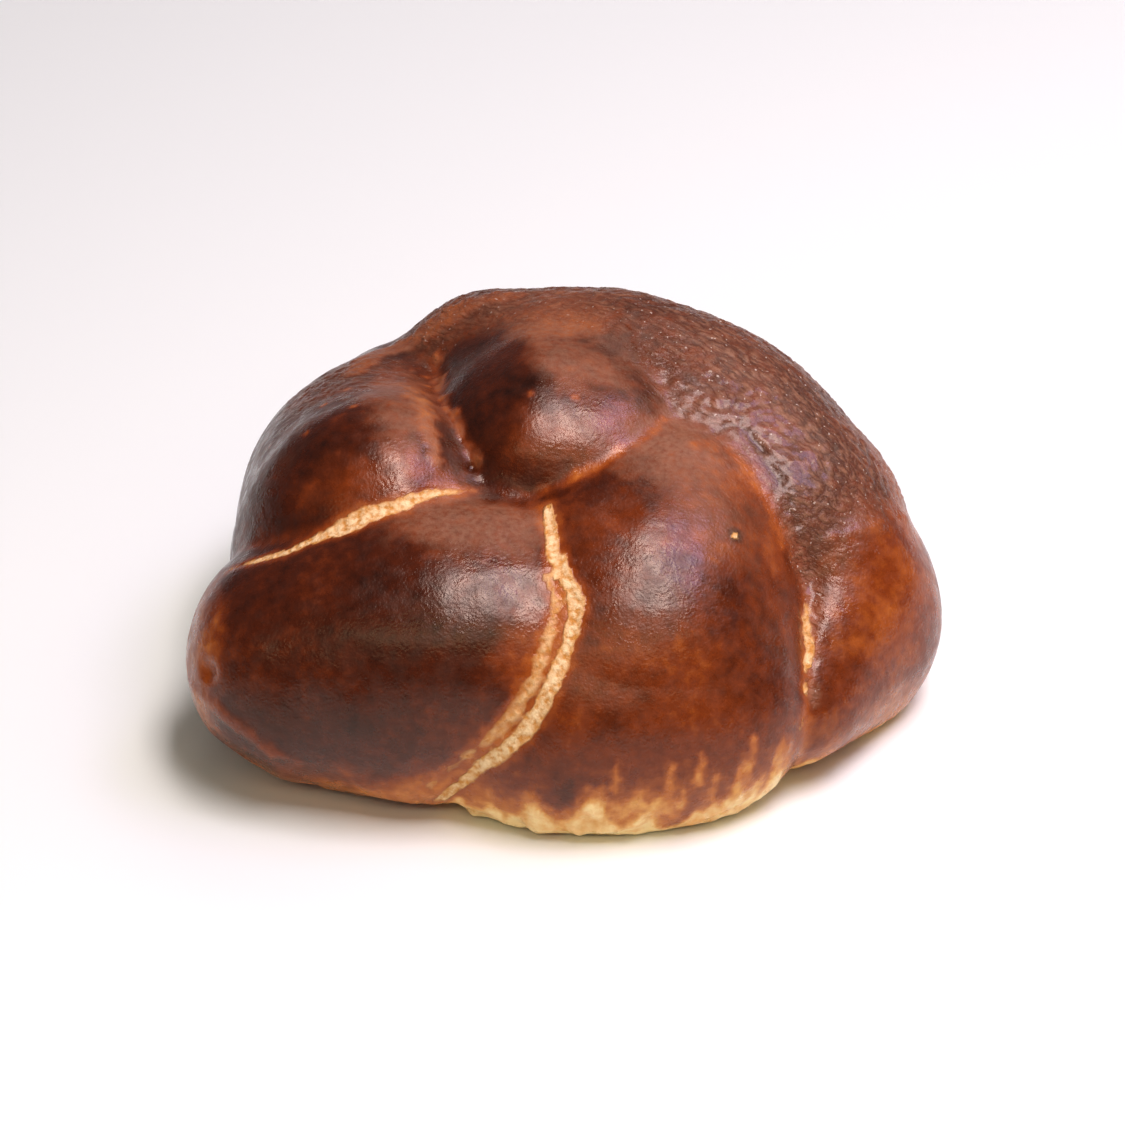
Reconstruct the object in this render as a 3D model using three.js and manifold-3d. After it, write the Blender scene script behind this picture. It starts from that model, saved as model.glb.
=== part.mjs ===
// A knotted roll: one strand of dough tied into a knot and baked until its turns
// have grown together. All sizes are in millimetres, with Z up, X across the roll
// and Y away from the side that shows the two front turns.
import * as THREE from 'three';
import { mergeVertices } from 'three/addons/utils/BufferGeometryUtils.js';
import Module from 'manifold-3d';

// Overall width across X. The turns below are laid out at about this width, and
// the joined body is scaled to hold it when one of their sizes changes.
const ROLL_WIDTH = 115;

// Every turn of the strand is a short row of stations along its middle, given as
// the middle's place, the half width of the dough and its half height there. Where
// the half length along Y differs from the half width, it follows as half_depth.
const TURNS = {
  knob: {
    stations: [
      { at: [-5, 28, 38.5], half_width: 15, half_height: 11.5 },
      { at: [0.5, 11, 39], half_width: 21, half_height: 15.5 },
    ],
    rings: 28,
    segments: 44,
  },
  left_shoulder: {
    stations: [
      { at: [-24, 31.5, 21.5], half_width: 17.5, half_height: 21.5 },
      { at: [-28, 17, 22.5], half_width: 22, half_height: 23.5 },
      { at: [-28, 1.5, 21.5], half_width: 23.5, half_height: 28.5 },
    ],
    rings: 28,
    segments: 48,
  },
  front_left: {
    stations: [
      { at: [-3.5, -15.5, 19], half_width: 24, half_height: 22 },
      { at: [-22.5, -16, 19], half_width: 24, half_height: 23.5 },
      { at: [-38, -16.5, 17.5], half_width: 20, half_height: 19 },
    ],
    rings: 28,
    segments: 48,
  },
  front_right: {
    stations: [
      { at: [13.5, -1, 29], half_width: 23, half_height: 18.5, half_depth: 18 },
      { at: [10, -13.5, 21.5], half_width: 26.5, half_height: 22.5, half_depth: 24 },
      { at: [6, -26.5, 13], half_width: 30, half_height: 21, half_depth: 17.5 },
    ],
    rings: 30,
    segments: 48,
  },
  back_crescent: {
    stations: [
      { at: [-10, 36, 31], half_width: 17, half_height: 18 },
      { at: [6.5, 28, 30], half_width: 21.5, half_height: 23 },
      { at: [19.5, 18, 26], half_width: 24.5, half_height: 27 },
      { at: [31, 7.5, 20.5], half_width: 23.5, half_height: 25.5 },
    ],
    rings: 34,
    segments: 48,
  },
  back_turn: {
    stations: [
      { at: [-15, 31, 16], half_width: 18, half_height: 21 },
      { at: [8, 28, 17], half_width: 20, half_height: 22 },
      { at: [27, 15, 16], half_width: 20, half_height: 21 },
    ],
    rings: 26,
    segments: 40,
  },
  right_end: {
    stations: [
      { at: [41, -1.5, 14], half_width: 18, half_height: 21 },
      { at: [34, -18.5, 11.5], half_width: 12.5, half_height: 11 },
    ],
    rings: 24,
    segments: 40,
  },
  heart: {
    stations: [
      { at: [-6, 4, 12], half_width: 36, half_height: 22 },
      { at: [6, 0, 12], half_width: 36, half_height: 22 },
    ],
    rings: 16,
    segments: 32,
  },
};

// Ellipsoids laid along a turn from each station to the next.
const ELLIPSOIDS_PER_STATION = 10;

// The block below the floor that cuts the base flat.
const FLOOR_BLOCK_SPAN = 260;
const FLOOR_BLOCK_DEPTH = 40;

const CRUST = { color: 0x6e3014, roughness: 0.38, metalness: 0 };

const wasm = await Module();
wasm.setup();

// A row of ellipsoids that follows the stations of one turn.
function ellipsoidsAlong(stations) {
  const middles = stations.map(({ at }) => new THREE.Vector3(...at));
  const sizes = stations.map(({ half_width, half_height, half_depth }) => {
    return new THREE.Vector3(half_width, half_depth ?? half_width, half_height);
  });
  const path = new THREE.CatmullRomCurve3(middles, false, 'catmullrom', 0.5);
  const growth = new THREE.CatmullRomCurve3(sizes, false, 'catmullrom', 0.5);
  const last = ELLIPSOIDS_PER_STATION * (stations.length - 1);
  const row = [];
  for (let i = 0; i <= last; i += 1) {
    row.push({ middle: path.getPoint(i / last), size: growth.getPoint(i / last) });
  }
  return row;
}

// Distance from a point inside the row to its skin, along one direction.
function distanceToSkin(row, origin, direction) {
  let farthest = 0;
  for (const { middle, size } of row) {
    const from = origin.clone().sub(middle).divide(size);
    const ray = direction.clone().divide(size);
    const a = ray.dot(ray);
    const b = from.dot(ray);
    const c = from.dot(from) - 1;
    const discriminant = b * b - a * c;
    if (discriminant > 0) {
      farthest = Math.max(farthest, (-b + Math.sqrt(discriminant)) / a);
    }
  }
  return farthest;
}

// A shape without normals and texture coordinates, so that its points can merge.
function bareShape(geometry) {
  geometry.deleteAttribute('normal');
  geometry.deleteAttribute('uv');
  return mergeVertices(geometry);
}

// One turn as a closed skin: a sphere whose poles lie along the turn, with each
// point pushed out to the skin of the row of ellipsoids.
function turnGeometry({ stations, rings, segments }) {
  const row = ellipsoidsAlong(stations);
  const origin = row[Math.floor(row.length / 2)].middle;
  const along = row[row.length - 1].middle.clone().sub(row[0].middle).normalize();
  const pole = new THREE.Vector3(0, 1, 0);
  const tilt = new THREE.Quaternion().setFromUnitVectors(pole, along);
  const geometry = bareShape(new THREE.SphereGeometry(1, segments, rings));
  const points = geometry.attributes.position;
  const direction = new THREE.Vector3();
  for (let i = 0; i < points.count; i += 1) {
    direction.fromBufferAttribute(points, i).normalize().applyQuaternion(tilt);
    const distance = distanceToSkin(row, origin, direction);
    const skin = direction.clone().multiplyScalar(distance).add(origin);
    points.setXYZ(i, skin.x, skin.y, skin.z);
  }
  return geometry;
}

function floorBlock() {
  const box = new THREE.BoxGeometry(FLOOR_BLOCK_SPAN, FLOOR_BLOCK_SPAN, FLOOR_BLOCK_DEPTH);
  box.translate(0, 0, -FLOOR_BLOCK_DEPTH / 2);
  return bareShape(box);
}

function toSolid(geometry) {
  const mesh = new wasm.Mesh({
    numProp: 3,
    vertProperties: new Float32Array(geometry.attributes.position.array),
    triVerts: new Uint32Array(geometry.index.array),
  });
  return new wasm.Manifold(mesh);
}

function toGeometry(solid) {
  const mesh = solid.getMesh();
  const geometry = new THREE.BufferGeometry();
  const positions = new THREE.BufferAttribute(new Float32Array(mesh.vertProperties), 3);
  geometry.setAttribute('position', positions);
  geometry.setIndex(new THREE.BufferAttribute(new Uint32Array(mesh.triVerts), 1));
  return geometry;
}

// All turns grown together, with the base cut flat.
function joinedTurns() {
  const solids = Object.values(TURNS).map((turn) => toSolid(turnGeometry(turn)));
  const body = solids.reduce((joined, solid) => joined.add(solid));
  return toGeometry(body.subtract(toSolid(floorBlock())));
}

// Scales to the stated width and stands the body on the floor over the origin.
function standOnOrigin(geometry) {
  geometry.computeBoundingBox();
  const box = geometry.boundingBox;
  const middle = box.getCenter(new THREE.Vector3());
  const scale = ROLL_WIDTH / (box.max.x - box.min.x);
  geometry.translate(-middle.x, -middle.y, -box.min.z);
  geometry.scale(scale, scale, scale);
  geometry.computeVertexNormals();
  return geometry;
}

const roll = new THREE.Mesh(
  standOnOrigin(joinedTurns()),
  new THREE.MeshStandardMaterial(CRUST),
);
roll.name = 'pretzel_roll';

const part = new THREE.Group();
part.name = 'knotted_pretzel_roll';
part.add(roll);

export default part;
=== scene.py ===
"""Dresses the knotted pretzel roll: a glossy, dark baked crust over grown-together turns.

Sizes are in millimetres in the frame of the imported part: the roll stands on the floor
over the origin, with X across it and -Y towards the side of the two front turns. They
become metres where a mesh, a lamp or a node takes them. The masks painted over the
crust run from 0 to 1, and a tone of 0 is golden dough and 1 is nearly black crust.
"""

import logging
import math
from dataclasses import dataclass, field
from enum import Enum

import bmesh
import bpy
import numpy as np
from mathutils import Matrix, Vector


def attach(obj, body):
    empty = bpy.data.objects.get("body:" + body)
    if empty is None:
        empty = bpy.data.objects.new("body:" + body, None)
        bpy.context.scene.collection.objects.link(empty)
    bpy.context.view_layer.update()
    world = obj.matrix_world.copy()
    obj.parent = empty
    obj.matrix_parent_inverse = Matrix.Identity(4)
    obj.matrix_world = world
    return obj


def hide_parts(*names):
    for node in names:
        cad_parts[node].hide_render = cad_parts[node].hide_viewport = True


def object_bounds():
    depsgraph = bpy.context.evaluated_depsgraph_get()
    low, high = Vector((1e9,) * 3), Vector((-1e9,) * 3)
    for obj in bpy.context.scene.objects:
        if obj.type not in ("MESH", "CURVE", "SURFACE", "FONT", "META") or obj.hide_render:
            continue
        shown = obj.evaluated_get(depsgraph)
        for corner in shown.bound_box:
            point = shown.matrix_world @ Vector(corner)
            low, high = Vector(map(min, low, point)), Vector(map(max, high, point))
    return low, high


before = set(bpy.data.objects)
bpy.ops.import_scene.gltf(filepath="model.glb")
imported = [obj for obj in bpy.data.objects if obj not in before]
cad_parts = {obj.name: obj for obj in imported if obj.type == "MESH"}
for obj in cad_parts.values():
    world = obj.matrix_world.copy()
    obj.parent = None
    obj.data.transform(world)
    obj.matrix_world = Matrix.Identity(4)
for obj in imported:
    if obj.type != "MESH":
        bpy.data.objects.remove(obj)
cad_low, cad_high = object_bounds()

log = logging.getLogger("pretzel_roll")

MM = 0.001
FAR = 1e9
TINY = 1e-9
NODE = "pretzel_roll"
BODY = "root"

# Sockets of a Mix node that mixes colours, which share their names with others.
MIX_SHARE = 0
MIX_FIRST = 6
MIX_SECOND = 7
MIX_RESULT = 2

Point = tuple[float, float, float]
Colour = tuple[int, int, int]
Span = tuple[float, float]


class TurnName(Enum):
    """The turns of the strand, as they are named in the part."""

    KNOB = 0
    LEFT_SHOULDER = 1
    FRONT_LEFT = 2
    FRONT_RIGHT = 3
    BACK_CRESCENT = 4
    BACK_TURN = 5
    RIGHT_END = 6


class Mask(Enum):
    """What is painted over the crust, by the names of the mesh's attributes."""

    TONE = "tone"
    CRUMB = "crumb"
    GLOW = "glow"
    # Grain also sets where the colour greys with painted sheen, and leather where painted highlight
    # specks go.
    GRAIN = "grain"
    LEATHER = "leather"


def ease(low: float | np.ndarray, high: float | np.ndarray, value: np.ndarray) -> np.ndarray:
    """Eases from 0 at low to 1 at high.

    Args:
        low: Value that gives 0.
        high: Value that gives 1; it may lie below low.
        value: Values to ease.

    Returns:
        The eased values, between 0 and 1.
    """
    t = np.clip((value - low) / (high - low), 0.0, 1.0)
    return t * t * (3.0 - 2.0 * t)


def reaches(points: np.ndarray, at: Point, reach: Point) -> np.ndarray:
    """How far points lie from a place, counted in the place's reach along each axis.

    Args:
        points: One row of x, y, z for each point.
        at: The middle of the place.
        reach: Its reach along X, Y and Z.

    Returns:
        0 in the middle and 1 at the reach.
    """
    return np.linalg.norm((points - at) / reach, axis=1)


def linear(colour: Colour) -> tuple[float, float, float, float]:
    """Turns a display colour into the scene's linear values.

    Args:
        colour: Red, green and blue from 0 to 255, as a screen shows them.

    Returns:
        Linear red, green and blue, with an alpha of 1.
    """
    shares = [channel / 255.0 for channel in colour]
    parts = [s / 12.92 if s <= 0.04045 else ((s + 0.055) / 1.055) ** 2.4 for s in shares]
    return parts[0], parts[1], parts[2], 1.0


def through(rows: np.ndarray, per_leg: int) -> np.ndarray:
    """Lays a smooth Catmull-Rom line through rows of values.

    Args:
        rows: The rows that the line passes through, in order.
        per_leg: Number of steps from each row to the next.

    Returns:
        The rows along the line, from the first to the last.
    """
    ends = np.vstack([2 * rows[0] - rows[1], rows, 2 * rows[-1] - rows[-2]])
    along = np.linspace(0, len(rows) - 1, per_leg * (len(rows) - 1) + 1)
    leg = np.minimum(along.astype(int), len(rows) - 2)
    t = (along - leg)[:, None]
    p0, p1, p2, p3 = (ends[leg + k] for k in range(4))
    curve = 2 * p1 + (p2 - p0) * t + (2 * p0 - 5 * p1 + 4 * p2 - p3) * t**2
    return 0.5 * (curve + (3 * p1 - p0 - 3 * p2 + p3) * t**3)


class Noise:
    """Seeded gradient noise over points in millimetres."""

    CELLS = 256
    ORIGIN = 137.3
    LAYER_SHIFT = 31.7
    GAIN = 1.6

    def __init__(self, seed: int) -> None:
        """Draws the lattice's shuffled order and its slopes.

        Args:
            seed: Seed of the random draw.
        """
        rng = np.random.default_rng(seed)
        order = rng.permutation(self.CELLS)
        self.order = np.concatenate([order, order])
        slopes = rng.standard_normal((self.CELLS, 3))
        self.slopes = slopes / np.linalg.norm(slopes, axis=1)[:, None]

    def at(self, points: np.ndarray, wavelength: float, shift: float = 0.0) -> np.ndarray:
        """Noise at each point.

        Args:
            points: One row of x, y, z for each point.
            wavelength: Size of the noise's bumps, in the points' unit.
            shift: Moves the pattern, so that no two uses of it look alike.

        Returns:
            Values of about -1 to 1.
        """
        scaled = (points + shift) / wavelength + self.ORIGIN
        cell = np.floor(scaled).astype(int)
        inside = scaled - cell
        cell &= self.CELLS - 1
        fade = inside * inside * inside * (inside * (inside * 6.0 - 15.0) + 10.0)
        total = np.zeros(len(points))
        for corner in range(8):
            step = np.array([corner & 1, corner >> 1 & 1, corner >> 2 & 1])
            spot = (cell + step) & (self.CELLS - 1)
            key = self.order[self.order[self.order[spot[:, 0]] + spot[:, 1]] + spot[:, 2]]
            slope = (self.slopes[key] * (inside - step)).sum(axis=1)
            total += np.where(step, fade, 1.0 - fade).prod(axis=1) * slope
        return total * self.GAIN

    def layered(
        self, points: np.ndarray, wavelength: float, layers: int, shift: float = 0.0
    ) -> np.ndarray:
        """Noise with finer and weaker layers added.

        Args:
            points: One row of x, y, z for each point.
            wavelength: Size of the coarsest bumps.
            layers: Number of layers, each half as large and half as strong.
            shift: Moves the pattern, so that no two uses of it look alike.

        Returns:
            Values of about -1 to 1.
        """
        total = np.zeros(len(points))
        for layer in range(layers):
            moved = points + shift + self.LAYER_SHIFT * layer
            total += self.at(moved, wavelength / 2**layer) / 2**layer
        return total


@dataclass(frozen=True)
class Station:
    """A place along the middle of a turn, with the dough's half sizes there."""

    at: Point
    half_width: float
    half_height: float
    half_depth: float | None = None

    def row(self) -> list[float]:
        """The place and the three half sizes along X, Y and Z."""
        depth = self.half_width if self.half_depth is None else self.half_depth
        return [*self.at, self.half_width, depth, self.half_height]


@dataclass(frozen=True)
class Turn:
    """One turn of the strand: a row of ellipsoids that follows its stations."""

    name: TurnName
    stations: tuple[Station, ...]
    per_station: int = 10

    def ellipsoids(self) -> np.ndarray:
        """Rows of the middle and the three half sizes along the stations."""
        return through(np.array([station.row() for station in self.stations]), self.per_station)


TURNS = (
    Turn(
        TurnName.KNOB,
        (
            Station((-5, 28, 38.5), 15, 11.5),
            Station((0.5, 11, 39), 21, 15.5),
        ),
    ),
    Turn(
        TurnName.LEFT_SHOULDER,
        (
            Station((-24, 31.5, 21.5), 17.5, 21.5),
            Station((-28, 17, 22.5), 22, 23.5),
            Station((-28, 1.5, 21.5), 23.5, 28.5),
        ),
    ),
    Turn(
        TurnName.FRONT_LEFT,
        (
            Station((-3.5, -15.5, 19), 24, 22),
            Station((-22.5, -16, 19), 24, 23.5),
            Station((-38, -16.5, 17.5), 20, 19),
        ),
    ),
    Turn(
        TurnName.FRONT_RIGHT,
        (
            Station((13.5, -1, 29), 23, 18.5, 18),
            Station((10, -13.5, 21.5), 26.5, 22.5, 24),
            Station((6, -26.5, 13), 30, 21, 17.5),
        ),
    ),
    Turn(
        TurnName.BACK_CRESCENT,
        (
            Station((-10, 36, 31), 17, 18),
            Station((6.5, 28, 30), 21.5, 23),
            Station((19.5, 18, 26), 24.5, 27),
            Station((31, 7.5, 20.5), 23.5, 25.5),
        ),
    ),
    Turn(
        TurnName.BACK_TURN,
        (
            Station((-15, 31, 16), 18, 21),
            Station((8, 28, 17), 20, 22),
            Station((27, 15, 16), 20, 21),
        ),
    ),
    Turn(
        TurnName.RIGHT_END,
        (
            Station((41, -1.5, 14), 18, 21),
            Station((34, -18.5, 11.5), 12.5, 11),
        ),
    ),
)


@dataclass
class Skin:
    """Points at the roll's skin, with what is known about each of them."""

    at: np.ndarray
    outward: np.ndarray
    gap: np.ndarray
    turn_gaps: np.ndarray
    turn_ways: np.ndarray

    def crease_distance(self, shallowest: float = 0.3) -> np.ndarray:
        """Distance from the nearest crease between any two turns.

        Args:
            shallowest: Least difference between the two turns' ways out.

        Returns:
            The distances.
        """
        order = np.argsort(self.turn_gaps, axis=1)[:, :2]
        rows = np.arange(len(self.at))
        gaps = [self.turn_gaps[rows, order[:, k]] for k in range(2)]
        apart = self.turn_ways[rows, order[:, 1]] - self.turn_ways[rows, order[:, 0]]
        return (gaps[1] - gaps[0]) / np.maximum(np.linalg.norm(apart, axis=1), shallowest)

    def shares(self, softness: float) -> np.ndarray:
        """How much each point belongs to each turn.

        Args:
            softness: Distance over which one turn gives way to the next.

        Returns:
            One row of shares for each point, which add up to 1.
        """
        least = self.turn_gaps.min(axis=1)[:, None]
        lead = np.exp(-(self.turn_gaps - least) / softness)
        return lead / lead.sum(axis=1)[:, None]


@dataclass(frozen=True)
class Merging:
    """A place where two turns run into each other without a sharp crease."""

    at: Point
    reach: Point
    fillet: float
    fade: Span = (1.4, 0.4)

    def share(self, points: np.ndarray) -> np.ndarray:
        """How far each point lies inside the place, from 0 to 1."""
        return ease(*self.fade, reaches(points, self.at, self.reach))


@dataclass
class Dough:
    """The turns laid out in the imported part's box, as distances to their skins."""

    turns: tuple[Turn, ...] = TURNS
    mergings: tuple[Merging, ...] = (
        Merging((13, 21, 48), (17, 13, 12), fillet=3.6),
        Merging((-14, 31, 44), (14, 9, 10), fillet=2.0),
        Merging((44, -8, 27), (9, 10, 9), fillet=2.4),
        Merging((-14, -12, 41), (10, 4, 6), fillet=1.6),
    )
    crease_fillet: float = 0.6
    floor_rounding: float = 0.8
    largest_power: float = 40.0
    least_slope: float = 1e-6
    chains: dict[TurnName, np.ndarray] = field(default_factory=dict)

    def lay_out(self, low: Vector, high: Vector) -> None:
        """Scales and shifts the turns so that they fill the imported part's box.

        Args:
            low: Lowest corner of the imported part, in metres.
            high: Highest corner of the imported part, in metres.
        """
        chains = {turn.name: turn.ellipsoids() for turn in self.turns}
        every = np.vstack(list(chains.values()))
        least = (every[:, :3] - every[:, 3:]).min(axis=0)
        most = (every[:, :3] + every[:, 3:]).max(axis=0)
        scale = (high.x - low.x) / MM / (most[0] - least[0])
        middle = (least + most) / 2
        for name, chain in chains.items():
            placed = chain.copy()
            placed[:, :2] -= middle[:2]
            self.chains[name] = placed * scale

    def distance(self, name: TurnName, points: np.ndarray) -> tuple[np.ndarray, np.ndarray]:
        """Distance to the skin of one turn, and the way out of it.

        Args:
            name: The turn.
            points: One row of x, y, z for each point.

        Returns:
            The signed distances, and one unit row for each point.
        """
        nearest = np.full(len(points), FAR)
        outward = np.zeros_like(points)
        for row in self.chains[name]:
            offset = points - row[:3]
            radial = np.linalg.norm(offset / row[3:], axis=1)
            slope = offset / row[3:] ** 2
            steep = np.linalg.norm(slope, axis=1) + TINY
            gap = radial * (radial - 1.0) / steep
            closer = gap < nearest
            nearest[closer] = gap[closer]
            outward[closer] = slope[closer] / steep[closer, None]
        return nearest, outward

    def skin(self, points: np.ndarray) -> Skin:
        """The joined skin of all turns, with soft creases and a rounded base edge.

        Args:
            points: One row of x, y, z for each point.

        Returns:
            The skin's distance and the way out at each point.
        """
        found = [self.distance(turn.name, points) for turn in self.turns]
        gaps = np.stack([gap for gap, _ in found], axis=1)
        ways = np.stack([way for _, way in found], axis=1)
        least = gaps.min(axis=1)
        fillet = np.full(len(points), self.crease_fillet)
        for merging in self.mergings:
            share = merging.share(points)
            fillet += (merging.fillet - self.crease_fillet) * share
        lead = np.exp(-(gaps - least[:, None]) / fillet[:, None])
        total = lead.sum(axis=1)
        joined = least - fillet * np.log(total)
        way = (lead[:, :, None] * ways).sum(axis=1) / total[:, None]
        floor_gap = -points[:, 2]
        lead_by = (floor_gap - joined) / self.floor_rounding
        lead_by = np.clip(lead_by, -self.largest_power, self.largest_power)
        floor_share = 1.0 / (1.0 + np.exp(-lead_by))
        rounded = np.logaddexp(joined / self.floor_rounding, floor_gap / self.floor_rounding)
        down = np.array([0.0, 0.0, -1.0])
        way = way * (1.0 - floor_share)[:, None] + floor_share[:, None] * down
        return Skin(points, way, rounded * self.floor_rounding, gaps, ways)

    def merged(self, points: np.ndarray) -> np.ndarray:
        """How far the creases have closed at each point, from 0 to 1."""
        return np.max([merging.share(points) for merging in self.mergings], axis=0)

    def settle(self, points: np.ndarray, passes: int) -> Skin:
        """Moves points onto the joined skin.

        Args:
            points: One row of x, y, z for each point, near the skin.
            passes: Number of steps towards the skin.

        Returns:
            The skin at the moved points.
        """
        for _ in range(passes):
            skin = self.skin(points)
            steep = (skin.outward**2).sum(axis=1) + self.least_slope
            points = points - skin.outward * (skin.gap / steep)[:, None]
        skin = self.skin(points)
        skin.outward /= np.linalg.norm(skin.outward, axis=1)[:, None] + TINY
        return skin


@dataclass
class Canvas:
    """The skin's points, with the relief and the masks that are laid on them."""

    skin: Skin
    merged: np.ndarray
    noise: Noise
    relief: np.ndarray = field(init=False)
    masks: dict[Mask, np.ndarray] = field(init=False)

    def __post_init__(self) -> None:
        """Starts with no relief and with empty masks."""
        count = len(self.skin.at)
        self.relief = np.zeros(count)
        self.masks = {mask: np.zeros(count) for mask in Mask}

    def draw(self, mask: Mask, value: float | np.ndarray, cover: np.ndarray) -> None:
        """Draws a mask towards a value.

        Args:
            mask: The mask to change.
            value: What the mask becomes where the cover is 1.
            cover: How far each point goes there, from 0 to 1.
        """
        self.masks[mask] = self.masks[mask] * (1.0 - cover) + value * cover


@dataclass(frozen=True)
class Course:
    """A smooth line over the crust through a few points, with a half width at each."""

    points: tuple[Point, ...]
    half_widths: tuple[float, ...]
    per_leg: int = 5

    def measure(self, skin: Skin) -> tuple[np.ndarray, np.ndarray, np.ndarray]:
        """Distance from the line, its half width beside each point, and the side.

        Args:
            skin: The crust's points.

        Returns:
            The distances, the half widths, and the distances to the line's right.
        """
        at = skin.at
        nearest = np.full(len(at), FAR)
        half_width = np.zeros(len(at))
        side = np.zeros(len(at))
        rows = np.column_stack([np.array(self.points, dtype=float), self.half_widths])
        line = through(rows, self.per_leg)
        for start, end in zip(line, line[1:]):
            leg = end[:3] - start[:3]
            share = np.clip((at - start[:3]) @ leg / (leg @ leg), 0.0, 1.0)
            away = at - start[:3] - share[:, None] * leg
            reach = np.linalg.norm(away, axis=1)
            closer = reach < nearest
            nearest[closer] = reach[closer]
            half_width[closer] = (start[3] + (end[3] - start[3]) * share)[closer]
            right = np.cross(leg / np.linalg.norm(leg), skin.outward[closer])
            side[closer] = (away[closer] * right).sum(axis=1)
        return nearest, half_width, side


@dataclass(frozen=True, kw_only=True)
class Marking:
    """What a marked place of the crust takes on; a mask at None stays as it is."""

    tone: float | None = None
    glow: float | None = None
    grain: float | None = None
    leather: float | None = None
    crumb: float | None = None
    relief: float = 0.0
    strength: float = 1.0

    def mark(self, canvas: Canvas, cover: np.ndarray) -> None:
        """Draws the masks that the marking sets.

        Args:
            canvas: The crust's points and masks.
            cover: How far each point is marked, from 0 to 1.
        """
        values = {
            Mask.TONE: self.tone,
            Mask.GLOW: self.glow,
            Mask.GRAIN: self.grain,
            Mask.LEATHER: self.leather,
            Mask.CRUMB: self.crumb,
        }
        for mask, value in values.items():
            if value is not None:
                canvas.draw(mask, value, cover)


@dataclass(frozen=True)
class Stroke(Marking):
    """A line along the crust with a tone, a grain and a relief of its own."""

    course: Course
    ragged: float = 0.5
    fray_size: float = 2.6
    edge: float = 0.8
    thinnest: float = 0.3

    def lay(self, canvas: Canvas) -> None:
        """Lays the line on the canvas, fading out where it is thinnest.

        Args:
            canvas: The crust's points and masks.
        """
        distance, half_width, _ = self.course.measure(canvas.skin)
        rounded = np.hypot(distance, self.edge / 4)
        fray = canvas.noise.layered(canvas.skin.at, self.fray_size, 2) * self.ragged
        cover = ease(half_width + self.edge, half_width - self.edge, rounded + fray)
        cover = cover * ease(0.0, self.thinnest, half_width) * self.strength
        self.mark(canvas, cover)
        canvas.relief += self.relief * cover


@dataclass(frozen=True)
class Spot(Marking):
    """A soft-edged patch of the crust with a tone, a grain and a relief of its own."""

    at: Point
    reach: Point
    ragged: float = 0.25
    fray_size: float = 4.5
    fade: Span = (1.25, 0.4)

    def lay(self, canvas: Canvas) -> None:
        """Lays the patch on the canvas.

        Args:
            canvas: The crust's points and masks.
        """
        radial = reaches(canvas.skin.at, self.at, self.reach)
        fray = canvas.noise.layered(canvas.skin.at, self.fray_size, 3, shift=11.0)
        cover = ease(*self.fade, radial + fray * self.ragged) * self.strength
        self.mark(canvas, cover)
        canvas.relief += self.relief * ease(1.0, 0.0, radial)


@dataclass(frozen=True)
class TornSeam:
    """Pale crumb where the crust has torn open along the crease of two turns.

    The spans named torn and singed are added to the half width and say where the crumb
    and the singed rim beside it end.
    """

    course: Course
    offset: float = 0.0
    paleness: float = 1.0
    reach: float = 5.0
    reach_fade: float = 1.5
    tapering: Span = (0.1, 0.35)
    fray: float = 0.5
    fray_size: float = 2.4
    torn: Span = (0.5, -0.3)
    singed: Span = (1.7, 0.2)
    singed_tone: float = 0.42
    singed_tone_share: float = 0.7
    singed_glow: float = 0.5
    singed_glow_share: float = 0.6
    groove: float = 0.25
    crumb_size: float = 0.9
    crumb_height: float = 0.32
    least_pale: float = 0.7
    rim: float = 0.3
    rim_shade: float = 0.55

    def lay(self, canvas: Canvas) -> None:
        """Tears the seam open: a groove filled with uneven pale crumb.

        Args:
            canvas: The crust's points and masks.
        """
        skin, noise = canvas.skin, canvas.noise
        distance, half_width, side = self.course.measure(skin)
        beyond = np.sqrt(np.maximum(distance**2 - side**2, 0.0))
        away = np.hypot(side - self.offset, beyond)
        frayed = away + noise.layered(skin.at, self.fray_size, 3, shift=5.0) * self.fray
        near = ease(self.reach, self.reach - self.reach_fade, distance)
        near = near * ease(*self.tapering, half_width)
        torn = ease(half_width + self.torn[0], half_width + self.torn[1], frayed) * near
        singed = ease(half_width + self.singed[0], half_width + self.singed[1], frayed) * near
        canvas.draw(Mask.TONE, self.singed_tone, singed * self.singed_tone_share)
        canvas.draw(Mask.GLOW, self.singed_glow, singed * self.singed_glow_share)
        grain = np.abs(noise.layered(skin.at, self.crumb_size, 2, shift=17.0))
        outwards = np.clip(away / (half_width + self.rim), 0.0, 1.0)
        middle = 1.0 - self.rim_shade * outwards**2
        pale = self.paleness * middle * np.clip(self.least_pale + grain, 0.0, 1.0)
        canvas.draw(Mask.CRUMB, pale, torn)
        canvas.relief += torn * (self.crumb_height * grain - self.groove)


@dataclass(frozen=True)
class TurnLook:
    """How far a turn is baked, how grainy its crust is and how leathery."""

    name: TurnName
    tone: float
    grain: float
    leather: float = 0.0


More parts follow.
